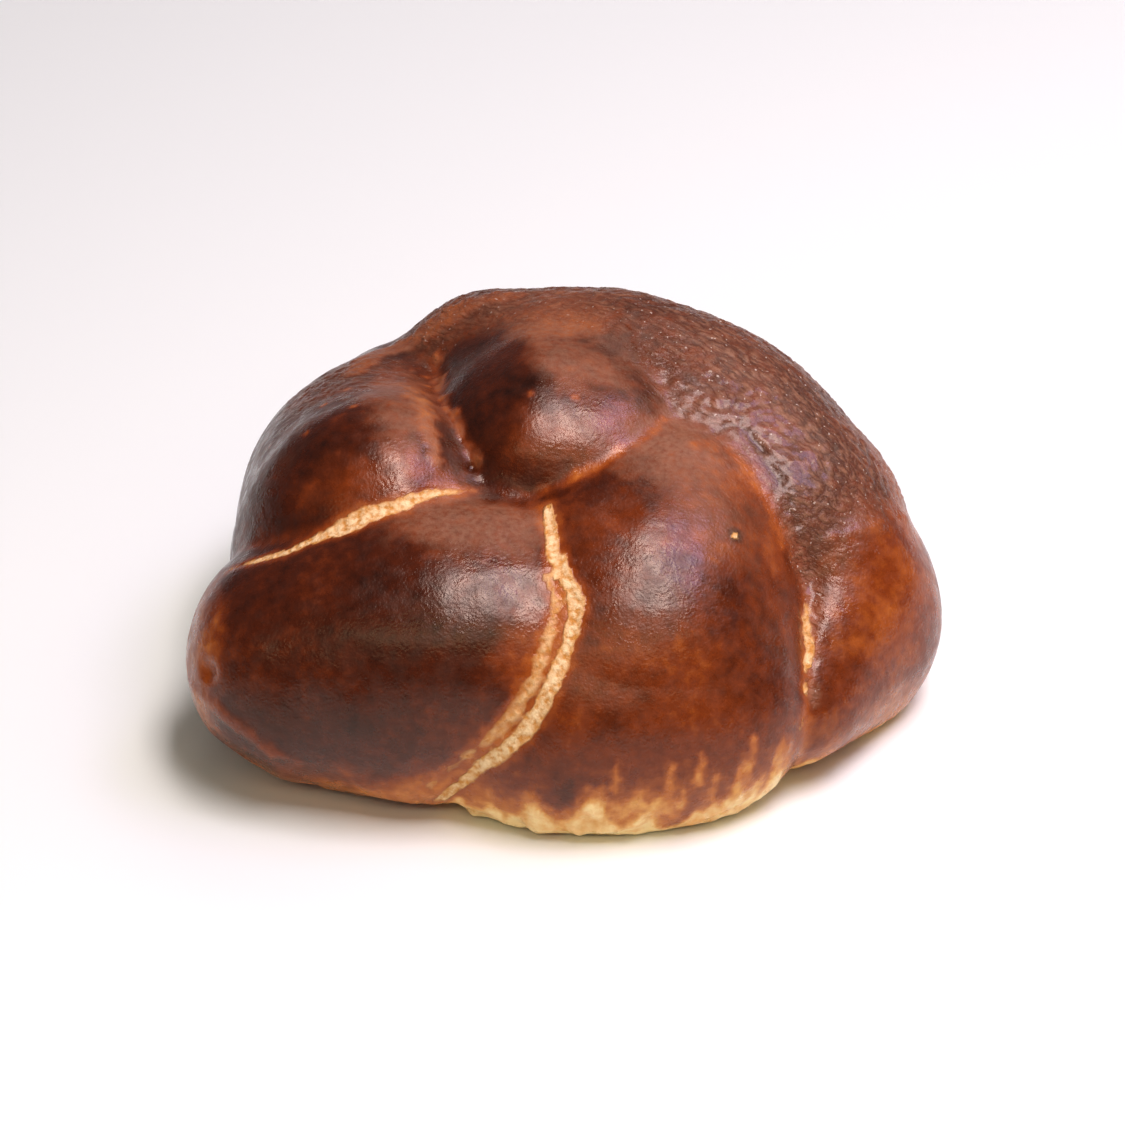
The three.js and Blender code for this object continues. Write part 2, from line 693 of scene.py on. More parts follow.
@dataclass(frozen=True)
class Browning:
    """The browning of the whole roll: turn by turn, and lighter towards the floor."""

    looks: tuple[TurnLook, ...]
    softness: float = 1.5
    lift: float = 0.3
    lift_height: float = 17.0
    lift_sway: float = 3.0
    lift_sway_size: float = 14.0
    crease_lift: float = 0.1
    crease_glow: float = 0.2
    crease_reach: float = 1.8
    crease_closing: Span = (0.6, 0.1)
    mottle: float = 0.1
    mottle_size: float = 16.0

    def lay(self, canvas: Canvas) -> None:
        """Browns the crust.

        Args:
            canvas: The crust's points and masks.
        """
        skin, noise, masks = canvas.skin, canvas.noise, canvas.masks
        shares = skin.shares(self.softness)
        for look in self.looks:
            share = shares[:, look.name.value]
            masks[Mask.TONE] += look.tone * share
            masks[Mask.GRAIN] += look.grain * share
            masks[Mask.LEATHER] += look.leather * share
        height = skin.at[:, 2] + self.lift_sway * noise.at(skin.at, self.lift_sway_size)
        masks[Mask.TONE] -= self.lift * ease(self.lift_height, 0.0, height)
        crease = ease(self.crease_reach, 0.0, skin.crease_distance())
        crease *= ease(*self.crease_closing, canvas.merged)
        masks[Mask.TONE] -= self.crease_lift * crease
        masks[Mask.GLOW] += self.crease_glow * crease
        masks[Mask.TONE] += self.mottle * noise.layered(skin.at, self.mottle_size, 3, shift=3.0)


@dataclass(frozen=True)
class Unevenness:
    """The hand-rolled dough's own unevenness, and the pimples of its crust."""

    swell: float = 0.5
    swell_size: float = 19.0
    ripple: float = 0.18
    ripple_size: float = 7.0
    pimple: float = 0.05
    pimple_size: float = 1.5
    smooth_share: float = 0.4

    def lay(self, canvas: Canvas) -> None:
        """Makes the skin uneven, with more pimples where it is grainy.

        Args:
            canvas: The crust's points and masks.
        """
        at, noise = canvas.skin.at, canvas.noise
        canvas.relief += self.swell * noise.at(at, self.swell_size, shift=7.0)
        canvas.relief += self.ripple * noise.at(at, self.ripple_size, shift=19.0)
        grain = self.smooth_share + canvas.masks[Mask.GRAIN]
        canvas.relief += self.pimple * grain * noise.layered(at, self.pimple_size, 2)


@dataclass(frozen=True)
class LeatheryWrinkles:
    """Short wrinkles that lie along the back crescent, as in old leather."""

    along: Point = (0.78, -0.58, -0.22)
    width: float = 1.5
    fine_width: float = 0.825
    fine_share: float = 0.3
    stretch: float = 2.2
    bend: float = 0.8
    bend_size: float = 6.0
    sharpness: float = 2.2
    depth: float = 0.36
    level: float = 0.6
    # Painted shade in the fold valleys and painted light on the ridges.
    painted_fold_shading: float = 0.12

    def folds(self, squeezed: np.ndarray, width: float, noise: Noise, shift: float) -> np.ndarray:
        """Heights of wrinkles of one width.

        Args:
            squeezed: The crust's points, squeezed along the wrinkles.
            width: The wrinkles' width.
            noise: The noise that lays them.
            shift: Moves the noise's pattern.

        Returns:
            Heights from 0 in the valleys to 1.
        """
        waves = np.abs(noise.at(squeezed, width, shift))
        return np.clip(waves * self.sharpness, 0.0, 1.0)

    def lay(self, canvas: Canvas) -> None:
        """Wrinkles the leathery parts of the crust, with painted shade in valleys and light on
        ridges.

        Args:
            canvas: The crust's points and masks.
        """
        at, noise = canvas.skin.at, canvas.noise
        direction = np.array(self.along) / np.linalg.norm(self.along)
        run = at @ direction
        squeezed = at - np.outer(run * (1.0 - 1.0 / self.stretch), direction)
        squeezed += noise.at(at, self.bend_size, shift=41.0)[:, None] * self.bend
        coarse = self.folds(squeezed, self.width, noise, 0.0) * (1.0 - self.fine_share)
        folds = coarse + self.folds(squeezed, self.fine_width, noise, 23.0) * self.fine_share
        leather = np.clip(canvas.masks[Mask.LEATHER], 0.0, 1.0)
        canvas.relief += self.depth * leather * (folds - self.level)
        # Painted shade in the valleys, painted light on the ridges.
        canvas.masks[Mask.TONE] += self.painted_fold_shading * leather * (self.level - folds)


@dataclass(frozen=True)
class GoldenHem:
    """The golden edge along the floor, with tongues that run up the crust."""

    at: Point
    reach: Point
    fade: Span = (1.0, 0.7)
    height: float = 4.5
    tongues: float = 4.0
    tongue_width: float = 5.5
    upright: float = 0.15
    edge: float = 1.2
    edge_sway: float = 1.6
    edge_size: float = 3.0
    tone: float = 0.2
    glow: float = 0.1
    grain: float = 0.1
    strength: float = 1.0
    bumps: float = 0.25
    bump_size: float = 2.6

    def lay(self, canvas: Canvas) -> None:
        """Leaves the hem unbrowned.

        Args:
            canvas: The crust's points and masks.
        """
        at, noise = canvas.skin.at, canvas.noise
        flat = at * np.array([1.0, 1.0, self.upright])
        rise = noise.layered(flat, self.tongue_width, 3, shift=53.0)
        top = self.height + self.tongues * rise
        soft = self.edge + self.edge_sway * np.abs(noise.at(at, self.edge_size, shift=61.0))
        cover = ease(*self.fade, reaches(at, self.at, self.reach))
        cover = cover * ease(top + soft, top - soft, at[:, 2])
        canvas.draw(Mask.TONE, self.tone, cover * self.strength)
        canvas.draw(Mask.GLOW, self.glow, cover * self.strength)
        canvas.draw(Mask.GRAIN, self.grain, cover * self.strength)
        canvas.relief += self.bumps * cover * noise.at(at, self.bump_size)


@dataclass(frozen=True)
class Drips:
    """Golden streaks that hang down the crust above the hem."""

    tops: tuple[Point, ...]
    length: float = 4.5
    lean: float = 0.3
    half_width: float = 0.75
    top_share: float = 0.6
    tone: float = 0.2
    glow: float = 0.2
    strength: float = 0.75
    ragged: float = 0.7
    edge: float = 0.6

    def lay(self, canvas: Canvas) -> None:
        """Lays each streak, narrower at its top.

        Args:
            canvas: The crust's points and masks.
        """
        for x, y, z in self.tops:
            ends = ((x, y, z), (x - self.lean, y, z - self.length))
            Stroke(
                Course(ends, (self.half_width * self.top_share, self.half_width)),
                tone=self.tone,
                glow=self.glow,
                strength=self.strength,
                ragged=self.ragged,
                edge=self.edge,
            ).lay(canvas)


@dataclass
class Wiring:
    """Adds nodes to one node tree and links them."""

    tree: bpy.types.NodeTree

    def add(
        self, kind: str, inputs: dict[str | int, object] | None = None, **settings: object
    ) -> bpy.types.Node:
        """Adds one node.

        Args:
            kind: Blender's name for the node's type.
            inputs: What each input takes: an output socket to link, or a value.
            settings: The node's own settings.

        Returns:
            The node.
        """
        node = self.tree.nodes.new(kind)
        for name, value in settings.items():
            setattr(node, name, value)
        self.fill(node, inputs or {})
        return node

    def fill(self, node: bpy.types.Node, inputs: dict[str | int, object]) -> None:
        """Links or sets the inputs of a node.

        Args:
            node: The node.
            inputs: What each input takes: an output socket to link, or a value.
        """
        for key, value in inputs.items():
            if isinstance(value, bpy.types.NodeSocket):
                self.tree.links.new(value, node.inputs[key])
            else:
                node.inputs[key].default_value = value

    def math(self, operation: str, *values: object) -> bpy.types.NodeSocket:
        """Adds a Math node and gives its output."""
        inputs = dict(enumerate(values))
        return self.add("ShaderNodeMath", inputs, operation=operation).outputs[0]

    def mask(self, mask: Mask) -> bpy.types.NodeSocket:
        """Adds an Attribute node for a painted mask and gives its value."""
        return self.add("ShaderNodeAttribute", attribute_name=mask.value).outputs["Fac"]

    def place(self) -> bpy.types.NodeSocket:
        """Adds the place on the object, in metres, as coordinates."""
        return self.add("ShaderNodeTexCoord").outputs["Object"]

    def noise(self, place: object, size: float, detail: float) -> bpy.types.NodeSocket:
        """Adds noise with bumps of a size in millimetres and gives its value."""
        inputs = {"Vector": place, "Scale": 1.0 / (size * MM), "Detail": detail}
        return self.add("ShaderNodeTexNoise", inputs).outputs["Fac"]

    def blend(self, share: object, first: object, second: object) -> bpy.types.NodeSocket:
        """Mixes two colours and gives the result."""
        inputs = {MIX_SHARE: share, MIX_FIRST: first, MIX_SECOND: second}
        return self.add("ShaderNodeMix", inputs, data_type="RGBA").outputs[MIX_RESULT]

    def band(
        self, value: object, given: Span, result: Span = (0.0, 1.0)
    ) -> bpy.types.NodeSocket:
        """Maps a value from one range to another and holds it there.

        Args:
            value: The value to map.
            given: Values that give the result's two ends.
            result: The two ends of the result.

        Returns:
            The mapped value.
        """
        ends = {"From Min": given[0], "From Max": given[1], "To Min": result[0], "To Max": result[1]}
        return self.add("ShaderNodeMapRange", {"Value": value, **ends}).outputs["Result"]


@dataclass(frozen=True)
class BakedColour:
    """The colours of baked dough, from golden to nearly black, as a node group."""

    name: str = "baked_colour"
    shades: tuple[tuple[float, Colour], ...] = (
        (0.0, (255, 226, 160)),
        (0.15, (228, 168, 88)),
        (0.3, (190, 112, 46)),
        (0.45, (150, 75, 26)),
        (0.6, (112, 46, 14)),
        (0.78, (74, 27, 8)),
        (1.0, (38, 14, 7)),
    )
    glowing: Colour = (170, 74, 14)
    glow_share: float = 0.5
    mottle_size: float = 1.6
    mottle_detail: float = 3.0
    patch_size: float = 7.0
    patch_detail: float = 2.0

    def group(self) -> bpy.types.NodeTree:
        """Builds the group once and gives it again after that.

        Returns:
            The node group, with the inputs Tone, Glow and Mottle.
        """
        known = bpy.data.node_groups.get(self.name)
        if known is not None:
            return known
        tree = bpy.data.node_groups.new(self.name, "ShaderNodeTree")
        for name in ("Tone", "Glow", "Mottle"):
            tree.interface.new_socket(name, in_out="INPUT", socket_type="NodeSocketFloat")
        tree.interface.new_socket("Color", in_out="OUTPUT", socket_type="NodeSocketColor")
        wiring = Wiring(tree)
        given = wiring.add("NodeGroupInput")
        place = wiring.place()
        fine = wiring.noise(place, self.mottle_size, self.mottle_detail)
        broad = wiring.noise(place, self.patch_size, self.patch_detail)
        swing = wiring.math("SUBTRACT", wiring.math("ADD", fine, broad), 1.0)
        shift = wiring.math("MULTIPLY", swing, given.outputs["Mottle"])
        tone = wiring.math("ADD", given.outputs["Tone"], shift)
        ramp = wiring.add("ShaderNodeValToRGB", {"Fac": tone})
        elements = ramp.color_ramp.elements
        while len(elements) < len(self.shades):
            elements.new(1.0)
        for element, (tone_there, colour) in zip(elements, self.shades):
            element.position = tone_there
            element.color = linear(colour)
        share = wiring.math("MULTIPLY", given.outputs["Glow"], self.glow_share)
        colour = wiring.blend(share, ramp.outputs["Color"], linear(self.glowing))
        wiring.add("NodeGroupOutput", {"Color": colour})
        return tree


@dataclass(frozen=True)
class FineWrinkles:
    """Hair-fine wrinkles and grit of the leathery crust, as a node group of heights."""

    name: str = "fine_wrinkles"
    turned: float = -36.6
    stretch: float = 2.4
    wrinkle_size: float = 1.3
    wrinkle_detail: float = 3.0
    sharpness: float = 5.0
    grit_size: float = 0.5
    grit_detail: float = 2.0

    def group(self) -> bpy.types.NodeTree:
        """Builds the group.

        Returns:
            The node group, with the outputs Wrinkles and Grit, both from 0 to 1.
        """
        tree = bpy.data.node_groups.new(self.name, "ShaderNodeTree")
        for name in ("Wrinkles", "Grit"):
            tree.interface.new_socket(name, in_out="OUTPUT", socket_type="NodeSocketFloat")
        wiring = Wiring(tree)
        place = wiring.place()
        along = {
            "Vector": place,
            "Rotation": (0.0, 0.0, math.radians(self.turned)),
            "Scale": (self.stretch, 1.0, 1.0),
        }
        turned = wiring.add("ShaderNodeMapping", along, vector_type="TEXTURE").outputs["Vector"]
        waves = wiring.noise(turned, self.wrinkle_size, self.wrinkle_detail)
        folded = wiring.math("ABSOLUTE", wiring.math("SUBTRACT", waves, 0.5))
        sharp = wiring.math("MULTIPLY", folded, self.sharpness)
        wrinkles = wiring.math("MINIMUM", sharp, 1.0)
        grit = wiring.noise(place, self.grit_size, self.grit_detail)
        wiring.add("NodeGroupOutput", {"Wrinkles": wrinkles, "Grit": grit})
        return tree


def new_material(name: str) -> tuple[bpy.types.Material, Wiring, bpy.types.Node]:
    """Makes a material with nothing but a Principled shader.

    Args:
        name: The material's name.

    Returns:
        The material, its wiring and the shader.
    """
    material = bpy.data.materials.new(name)
    material.use_nodes = True
    material.node_tree.nodes.clear()
    wiring = Wiring(material.node_tree)
    shader = wiring.add("ShaderNodeBsdfPrincipled")
    wiring.add("ShaderNodeOutputMaterial", {"Surface": shader.outputs["BSDF"]})
    return material, wiring, shader


@dataclass(frozen=True)
class CrustFinish:
    """The browned skin: dark, glossy, finely grained, with pale crumb in the seams.

    Sizes are those of the noise that lays each effect, and spans are the values of the
    noise or of the mask between which the effect sets in. Reliefs are shares of depth.
    """

    colours: BakedColour = BakedColour()
    wrinkles: FineWrinkles = FineWrinkles()
    mottle: float = 0.36
    # Greyish colour of grainy crust: partly its matt grain, partly painted sheen.
    ashen_and_sheen: Colour = (152, 105, 78)
    ashen_and_sheen_share: float = 0.78
    ashen_and_sheen_grain: Span = (0.25, 1.0)
    spot_size: float = 0.8
    spot_detail: float = 4.0
    spots: Span = (0.2, 0.62)
    # Painted highlight specks on the leathery crust.
    painted_glint: Colour = (232, 214, 198)
    painted_glint_share: float = 0.6
    painted_glint_size: float = 0.65
    painted_glint_detail: float = 1.0
    painted_glints: Span = (0.71, 0.76)
    crumb_shade: Colour = (248, 220, 170)
    crumb_shadow: Colour = (204, 140, 66)
    crumb_size: float = 0.9
    fleck_detail: float = 3.0
    flecks: Span = (0.34, 0.6)
    torn: Span = (0.15, 0.45)
    smooth_roughness: float = 0.2
    patchy_roughness: float = 0.42
    patch_size: float = 2.4
    patch_detail: float = 3.0
    patches: Span = (0.36, 0.64)
    grainy_roughness: float = 0.6
    crumb_roughness: float = 0.8
    gloss: float = 0.38
    gloss_tint: Colour = (255, 236, 218)
    glaze: float = 0.12
    glaze_roughness: float = 0.18
    sparkle: float = 0.25
    depth: float = 0.125
    pore_size: float = 1.3
    pore_detail: float = 3.0
    pore_relief: float = 0.25
    wrinkle_relief: float = 1.8
    grit_relief: float = 0.75
    crumb_detail: float = 4.0
    crumb_relief: float = 3.0

    def skin_colour(self, wiring: Wiring, wrinkles: object) -> bpy.types.NodeSocket:
        """Wires the skin's colour: baked, greyed by grain and painted sheen, with painted highlight
        specks.

        Args:
            wiring: The material's wiring.
            wrinkles: The height of the fine wrinkles.

        Returns:
            The colour.
        """
        place = wiring.place()
        inputs = {
            "Tone": wiring.mask(Mask.TONE),
            "Glow": wiring.mask(Mask.GLOW),
            "Mottle": self.mottle,
        }
        baked = wiring.add("ShaderNodeGroup", node_tree=self.colours.group())
        wiring.fill(baked, inputs)
        leather = wiring.mask(Mask.LEATHER)
        spotty = wiring.band(wiring.noise(place, self.spot_size, self.spot_detail), self.spots)
        folded = wiring.blend(leather, spotty, wrinkles)
        # Grainy parts turn greyish: partly their matt grain, partly painted sheen.
        grainy = wiring.band(wiring.mask(Mask.GRAIN), self.ashen_and_sheen_grain)
        dust_and_sheen = wiring.math("MULTIPLY", grainy, folded)
        dust_and_sheen_share = wiring.math("MULTIPLY", dust_and_sheen, self.ashen_and_sheen_share)
        skin = wiring.blend(dust_and_sheen_share, baked.outputs["Color"], linear(self.ashen_and_sheen))
        # Painted highlight specks, scattered over the leathery crust.
        sparse = wiring.noise(place, self.painted_glint_size, self.painted_glint_detail)
        painted_glints = wiring.math("MULTIPLY", wiring.band(sparse, self.painted_glints), leather)
        bright = wiring.math("MULTIPLY", painted_glints, self.painted_glint_share)
        return wiring.blend(bright, skin, linear(self.painted_glint))

    def colour(self, wiring: Wiring, wrinkles: object, torn: object) -> bpy.types.NodeSocket:
        """Wires the crust's colour: the skin's, and the crumb's where it is torn.

        Args:
            wiring: The material's wiring.
            wrinkles: The height of the fine wrinkles.
            torn: How far the skin is torn, from 0 to 1.

        Returns:
            The colour.
        """
        skin = self.skin_colour(wiring, wrinkles)
        fleck = wiring.noise(wiring.place(), self.crumb_size, self.fleck_detail)
        flecked = wiring.band(fleck, self.flecks)
        pale = wiring.math("MULTIPLY", wiring.mask(Mask.CRUMB), flecked)
        crumb = wiring.blend(pale, linear(self.crumb_shadow), linear(self.crumb_shade))
        return wiring.blend(torn, skin, crumb)

    def roughness(self, wiring: Wiring, torn: object) -> bpy.types.NodeSocket:
        """Wires the roughness: smooth in patches, rougher with grain, matt in the seams.

        Args:
            wiring: The material's wiring.
            torn: How far the skin is torn, from 0 to 1.

        Returns:
            The roughness.
        """
        patches = wiring.noise(wiring.place(), self.patch_size, self.patch_detail)
        smooth = (self.smooth_roughness, self.patchy_roughness)
        patchy = wiring.band(patches, self.patches, smooth)
        grainy = wiring.math("MULTIPLY", wiring.mask(Mask.GRAIN), self.grainy_roughness)
        matt = wiring.math("MULTIPLY", torn, self.crumb_roughness)
        return wiring.math("MAXIMUM", wiring.math("MAXIMUM", patchy, grainy), matt)

    def height(self, wiring: Wiring, fine: bpy.types.Node, torn: object) -> bpy.types.NodeSocket:
        """Wires the height of the pores, the fine wrinkles, the grit and the crumb.

        Args:
            wiring: The material's wiring.
            fine: The node of the fine wrinkles.
            torn: How far the skin is torn, from 0 to 1.

        Returns:
            The height, as a share of the depth.
        """
        place = wiring.place()
        pores = wiring.noise(place, self.pore_size, self.pore_detail)
        leather = wiring.math("MULTIPLY", wiring.mask(Mask.LEATHER), self.wrinkle_relief)
        crumb = wiring.noise(place, self.crumb_size, self.crumb_detail)
        heights = (
            wiring.math("MULTIPLY", fine.outputs["Wrinkles"], leather),
            wiring.math("MULTIPLY", fine.outputs["Grit"], self.grit_relief),
            wiring.math("MULTIPLY", wiring.math("MULTIPLY", crumb, torn), self.crumb_relief),
        )
        total = wiring.math("MULTIPLY", pores, self.pore_relief)
        for height in heights:
            total = wiring.math("ADD", total, height)
        return total

    def coat(self, wiring: Wiring, torn: object) -> bpy.types.NodeSocket:
        """Wires the glaze's weight: more on leather, none in the seams.

        Args:
            wiring: The material's wiring.
            torn: How far the skin is torn, from 0 to 1.

        Returns:
            The weight.
        """
        sparkling = wiring.math("MULTIPLY", wiring.mask(Mask.LEATHER), self.sparkle)
        glazed = wiring.math("ADD", sparkling, self.glaze)
        return wiring.math("MULTIPLY", wiring.math("SUBTRACT", 1.0, torn), glazed)

    def material(self) -> bpy.types.Material:
        """Builds the material.

        Returns:
            The material.
        """
        material, wiring, shader = new_material("crust")
        fine = wiring.add("ShaderNodeGroup", node_tree=self.wrinkles.group())
        torn = wiring.band(wiring.mask(Mask.CRUMB), self.torn)
        height = self.height(wiring, fine, torn)
        bump = wiring.add("ShaderNodeBump", {"Height": height, "Distance": self.depth * MM})
        inputs = {
            "Base Color": self.colour(wiring, fine.outputs["Wrinkles"], torn),
            "Roughness": self.roughness(wiring, torn),
            "Specular IOR Level": self.gloss,
            "Specular Tint": linear(self.gloss_tint),
            "Coat Weight": self.coat(wiring, torn),
            "Coat Roughness": self.glaze_roughness,
            "Normal": bump.outputs["Normal"],
        }
        wiring.fill(shader, inputs)
        return material


@dataclass(frozen=True)
class SoleFinish:
    """The flat base: browned evenly by the tray, matt and a little dusty."""

    colours: BakedColour = BakedColour()
    tone: float = 0.4
    mottle: float = 0.35
    roughness: float = 0.7
    pore_size: float = 1.4
    pore_detail: float = 4.0
    depth: float = 0.15

    def material(self) -> bpy.types.Material:
        """Builds the material.

        Returns:
            The material.
        """
        material, wiring, shader = new_material("sole")
        baked = wiring.add("ShaderNodeGroup", node_tree=self.colours.group())
        wiring.fill(baked, {"Tone": self.tone, "Glow": 0.0, "Mottle": self.mottle})
        pores = wiring.noise(wiring.place(), self.pore_size, self.pore_detail)
        bump = wiring.add("ShaderNodeBump", {"Height": pores, "Distance": self.depth * MM})
        inputs = {
            "Base Color": baked.outputs["Color"],
            "Roughness": self.roughness,
            "Normal": bump.outputs["Normal"],
        }
        wiring.fill(shader, inputs)
        return material


@dataclass(frozen=True)
class FloorFinish:
    """A plain, pale, matt surface."""

    shade: Colour = (244, 251, 247)
    roughness: float = 0.55

    def material(self) -> bpy.types.Material:
        """Builds the material.

        Returns:
            The material.
        """
        material, wiring, shader = new_material("pale_floor")
        wiring.fill(shader, {"Base Color": linear(self.shade), "Roughness": self.roughness})
        return material


BROWNING = Browning(
    looks=(
        TurnLook(TurnName.KNOB, tone=0.84, grain=0.2),
        TurnLook(TurnName.LEFT_SHOULDER, tone=0.8, grain=0.2),
        TurnLook(TurnName.FRONT_LEFT, tone=0.8, grain=0.1),
        TurnLook(TurnName.FRONT_RIGHT, tone=0.7, grain=0.12),
        TurnLook(TurnName.BACK_CRESCENT, tone=0.74, grain=0.9, leather=0.9),
        TurnLook(TurnName.BACK_TURN, tone=0.62, grain=0.7, leather=0.6),
        TurnLook(TurnName.RIGHT_END, tone=0.62, grain=0.1),
    )
)

# Patches of the browning, laid in this order, each over the ones before it.
SPOTS = (
    # The knob and the saddle behind it.
    # The knob's darker left side, partly painted shade.
    Spot((-14, 5, 48), (10, 18, 12), tone=0.88, grain=0.05),
    Spot((12, 12, 51), (8, 13, 8), tone=0.74, grain=0.45, strength=0.8),
    # The lighter, grainy top of the knob, partly painted sheen.
    Spot((-1, 16, 52.5), (10, 8, 5.5), tone=0.5, grain=1.0, strength=0.85),
    Spot((2.5, 4, 53.5), (8.5, 7.5, 5), tone=0.56, grain=0.85, strength=0.75),
    Spot((-2, 24, 50), (12, 8, 6), tone=0.62, grain=0.9, leather=0.6, strength=0.8),
    Spot((1, -8, 47), (12, 6, 6), tone=0.6, glow=0.4, strength=0.7),
    # The left shoulder.
    Spot((-42, 2, 36), (12, 16, 14), tone=0.82, grain=0.35, strength=0.8),
    Spot((-34, 16, 42), (12, 12, 9), tone=0.7, grain=0.7, leather=0.7, strength=0.8),
    Spot((-24, 3, 48), (7, 17, 8), tone=0.56, grain=0.75, strength=0.85),
    Spot((-28, -13, 42), (12, 6, 6), tone=0.55, glow=0.5, strength=0.7),
    # The left front turn.
    # The lighter, grainy top of the left front turn, partly painted sheen.
    Spot((-14, -22, 42), (15, 9, 6), tone=0.62, grain=0.85, strength=0.85),
    Spot((-26, -34, 26), (20, 10, 11), tone=0.8, grain=0.1, strength=0.7),
    Spot((-7, -38, 28), (5, 7, 11), tone=0.58, glow=0.5, strength=0.55),
    Spot((-22, -42, 4), (29, 9, 7), tone=0.3, glow=0.3, strength=0.85),
    Spot((-55, -23, 20), (7, 14, 13), tone=0.34, glow=0.3, strength=0.8),
    # The right front turn.
    # The lighter, grainy top of the right front turn and its upper right, partly painted sheen.
    Spot((17, -9, 46), (11, 11, 6), tone=0.6, grain=0.9, strength=0.9),
    Spot((23, -20, 41), (12, 12, 9), tone=0.56, grain=0.6, strength=0.75),
    Spot((7, -22, 43), (5, 5, 3), tone=0.66, glow=0.2, relief=-0.5, strength=0.7),
    Spot((2, -27, 40), (5, 9, 6), tone=0.74, glow=0.2, strength=0.6),
    Spot((8, -42, 24), (22, 9, 14), tone=0.6, glow=0.35, strength=0.5),
    Spot((30, -28, 26), (8, 11, 13), tone=0.64, grain=0.5, strength=0.6),
    Spot((26, -13, 42), (6, 4, 5), tone=0.52, glow=0.7, strength=0.4),
    Spot((30, -20, 35), (3, 5, 5), tone=0.52, glow=0.7, strength=0.45),
    # The right end.
    Spot((46, -14, 20), (12, 12, 14), tone=0.48, glow=0.5, strength=0.7),
    Spot((52, 8, 26), (8, 18, 16), tone=0.44, glow=0.3, strength=0.6),
    Spot((47, -24, 8), (10, 8, 7), tone=0.4, grain=0.5, strength=0.6),
    # The hole at the left end, the bulge and the dent at the floor, the pit by the knob.
    Spot((-53.5, -31.5, 22.5), (3, 3, 2.5), tone=0.5, glow=0.6, relief=-1.0),
    Spot((-24, -43, 3), (16, 8, 9), relief=2.2),
    Spot((-50, -34, 5), (9, 9, 8), relief=-1.6),
    # The pit by the knob is painted nearly black, as painted shade.
    Spot((-14, -9, 42.5), (1.8, 1.6, 2.2), tone=1.0, relief=-1.2),
    # The golden middle of the hem, and the pale speck with its dark ring.
    Spot((8, -46, 6), (8, 6, 4.5), tone=0.16, glow=0.1, strength=0.75, ragged=0.5),
    Spot((24.2, -23, 39.3), (1.5, 1.5, 1.5), tone=0.95),
    Spot((24.2, -23, 39.3), (0.6, 0.6, 0.6), crumb=0.9, ragged=0.0),
)

SPECKS = tuple(
    Spot(at, (0.8, 0.8, 0.8), tone=0.35, strength=0.7, ragged=0.0)
    for at in (
        (-20.9, 17.6, 43.3), (-20.8, 12.9, 44.2), (-5.2, -3.1, 51.3),
        (1.3, -3.6, 51.6), (-36.5, 5.3, 45.7), (-38.8, -3.5, 45.9),
        (-31.7, -0.6, 48.6), (-44.5, 3.5, 39), (-33, 9.5, 46),
    )
)

# The lower crease between the two front turns, from the top down.
FRONT_CREASE = (
    (-2.3, -30.5, 38), (-1, -34.5, 35.5), (-2, -38, 32), (-5, -42.5, 26),
    (-9, -44.5, 20), (-14.5, -43, 14), (-20, -41, 8),
)

